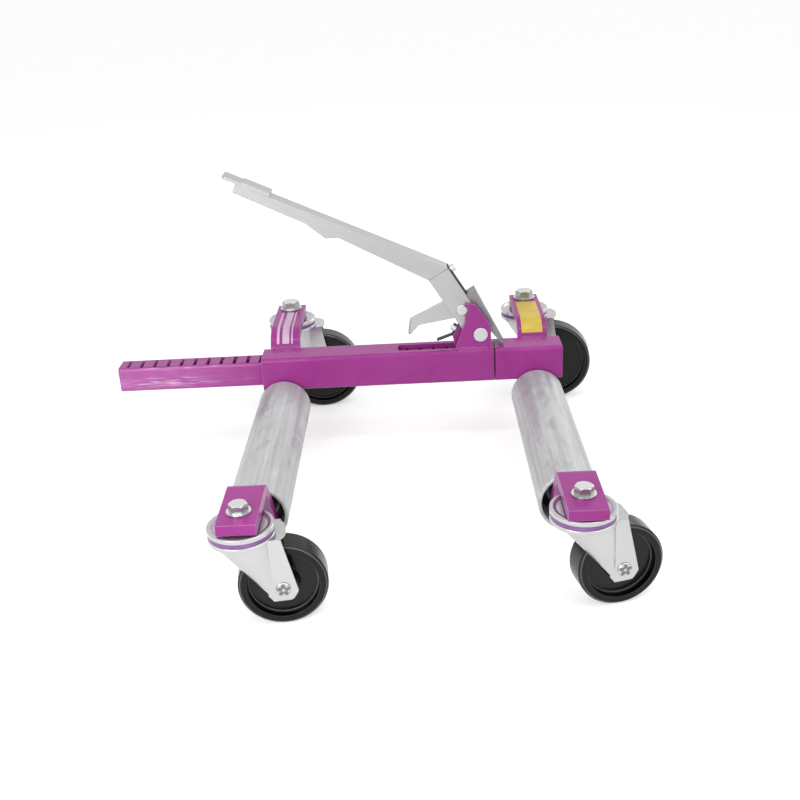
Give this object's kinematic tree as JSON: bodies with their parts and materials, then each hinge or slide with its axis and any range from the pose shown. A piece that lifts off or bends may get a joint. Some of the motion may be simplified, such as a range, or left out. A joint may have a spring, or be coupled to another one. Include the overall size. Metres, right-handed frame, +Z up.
{
  "type": "vehicle positioning jack",
  "caption": "Pedal-operated wheel dolly with a sliding square-tube frame, steel rollers that close under a tyre, and swivel casters.",
  "frame": {"origin": "on the floor, under the middle of the bounding box of the closed jack", "axes": "+X along the cross beam towards the sleeve end, +Y from the open roller ends towards the beam, +Z up"},
  "size_m": [0.7319, 0.6926, 0.4205],
  "materials": {
    "purple_paint": "gloss",
    "zinc_pedal": "satin",
    "zinc_bolt": "satin",
    "galvanised_steel": "satin",
    "bright_shaft": "satin",
    "black_bush": "matte",
    "black_leaf": "satin",
    "caster_zinc": "satin",
    "violet_seal": "satin",
    "black_wheel": "satin"
  },
  "bodies": {
    "frame": {"outer_tube": "purple_paint", "front_ear": "purple_paint", "rear_ear": "purple_paint", "pivot_pin": "zinc_bolt", "left_roller_shaft": "bright_shaft", "left_near_bracket": "purple_paint", "left_far_bracket": "purple_paint", "left_near_bolt": "zinc_bolt", "left_far_bolt": "zinc_bolt", "left_caster_nuts": "zinc_bolt", "left_near_cap": "caster_zinc", "left_far_cap": "caster_zinc", "left_roller_clip": "bright_shaft"},
    "slide": {"inner_tube": "purple_paint", "end_sleeve": "purple_paint", "right_roller_shaft": "bright_shaft", "right_near_bracket": "purple_paint", "right_far_bracket": "purple_paint", "right_near_bolt": "zinc_bolt", "right_far_bolt": "zinc_bolt", "right_caster_nuts": "zinc_bolt", "right_near_cap": "caster_zinc", "right_far_cap": "caster_zinc", "right_roller_clip": "bright_shaft"},
    "left_roller": {"left_roller_tube": "galvanised_steel", "left_roller_bushes": "black_bush"},
    "right_roller": {"right_roller_tube": "galvanised_steel", "right_roller_bushes": "black_bush"},
    "pedal": {"pedal_stem": "zinc_pedal", "pedal_arm": "zinc_pedal", "foot_plate": "zinc_pedal", "pawl_pin": "zinc_bolt", "return_leaf": "black_leaf", "leaf_bolt": "zinc_bolt", "stop_plate": "zinc_pedal"},
    "push_pawl": {"drive_pawl": "zinc_pedal"},
    "catch_pawl": {"hold_pawl": "purple_paint", "hold_leaf": "black_leaf", "hold_bolt": "zinc_bolt"},
    "left_near_swivel": {"left_near_fork": "caster_zinc", "left_near_seal": "violet_seal", "left_near_axle": "caster_zinc"},
    "left_near_roll": {"left_near_wheel": "black_wheel", "left_near_wheel_bush": "black_bush"},
    "left_far_swivel": {"left_far_fork": "caster_zinc", "left_far_seal": "violet_seal", "left_far_axle": "caster_zinc"},
    "left_far_roll": {"left_far_wheel": "black_wheel", "left_far_wheel_bush": "black_bush"},
    "right_near_swivel": {"right_near_fork": "caster_zinc", "right_near_seal": "violet_seal", "right_near_axle": "caster_zinc"},
    "right_near_roll": {"right_near_wheel": "black_wheel", "right_near_wheel_bush": "black_bush"},
    "right_far_swivel": {"right_far_fork": "caster_zinc", "right_far_seal": "violet_seal", "right_far_axle": "caster_zinc"},
    "right_far_roll": {"right_far_wheel": "black_wheel", "right_far_wheel_bush": "black_bush"}
  },
  "joints": [
    {"name": "frame_slide", "type": "slide", "parent": "frame", "child": "slide", "axis": [1, 0, 0], "range_m": [0, 0.2]},
    {"name": "pedal_pivot", "type": "hinge", "parent": "frame", "child": "pedal", "pos_m": [0.1767, 0.1604, 0.1708], "axis": [0, -1, 0], "range_deg": [0, 26], "stiffness_Nm_per_rad": 5, "springref_deg": -42.97},
    {"name": "drive_pawl_pivot", "type": "hinge", "parent": "pedal", "child": "push_pawl", "pos_m": [0.1505, 0.1604, 0.20836], "axis": [0, -1, 0], "range_deg": [-15.5, 0.5]},
    {"name": "hold_pawl_pivot", "type": "hinge", "parent": "frame", "child": "catch_pawl", "pos_m": [0.1767, 0.1604, 0.1708], "axis": [0, -1, 0], "range_deg": [-4, 5], "stiffness_Nm_per_rad": 6},
    {"name": "left_roller_spin", "type": "hinge", "parent": "frame", "child": "left_roller", "pos_m": [-0.1195, 0.1308, 0.0764], "axis": [0, 1, 0], "continuous": true},
    {"name": "right_roller_spin", "type": "hinge", "parent": "slide", "child": "right_roller", "pos_m": [0.2585, 0.1308, 0.0764], "axis": [0, 1, 0], "continuous": true},
    {"name": "left_near_swivel_turn", "type": "hinge", "parent": "frame", "child": "left_near_swivel", "pos_m": [-0.1195, -0.3088, 0.1273], "axis": [0, 0, 1], "continuous": true},
    {"name": "left_near_wheel_spin", "type": "hinge", "parent": "left_near_swivel", "child": "left_near_roll", "pos_m": [-0.07922, -0.30457, 0.0508], "axis": [-0.1045, 0.9945, 0], "continuous": true},
    {"name": "left_far_swivel_turn", "type": "hinge", "parent": "frame", "child": "left_far_swivel", "pos_m": [-0.1195, 0.3088, 0.156], "axis": [0, 0, 1], "continuous": true},
    {"name": "left_far_wheel_spin", "type": "hinge", "parent": "left_far_swivel", "child": "left_far_roll", "pos_m": [-0.07666, 0.31255, 0.0635], "axis": [-0.0872, 0.9962, 0], "continuous": true},
    {"name": "right_near_swivel_turn", "type": "hinge", "parent": "slide", "child": "right_near_swivel", "pos_m": [0.2585, -0.3023, 0.1273], "axis": [0, 0, 1], "continuous": true},
    {"name": "right_near_wheel_spin", "type": "hinge", "parent": "right_near_swivel", "child": "right_near_roll", "pos_m": [0.29796, -0.29319, 0.0508], "axis": [-0.225, 0.9744, 0], "continuous": true},
    {"name": "right_far_swivel_turn", "type": "hinge", "parent": "slide", "child": "right_far_swivel", "pos_m": [0.2585, 0.3088, 0.156], "axis": [0, 0, 1], "continuous": true},
    {"name": "right_far_wheel_spin", "type": "hinge", "parent": "right_far_swivel", "child": "right_far_roll", "pos_m": [0.30126, 0.30431, 0.0635], "axis": [0.1045, 0.9945, 0], "continuous": true}
  ],
  "couplings": [
    {"joint": "drive_pawl_pivot", "follows": "pedal_pivot", "ratio": -0.577}
  ]
}
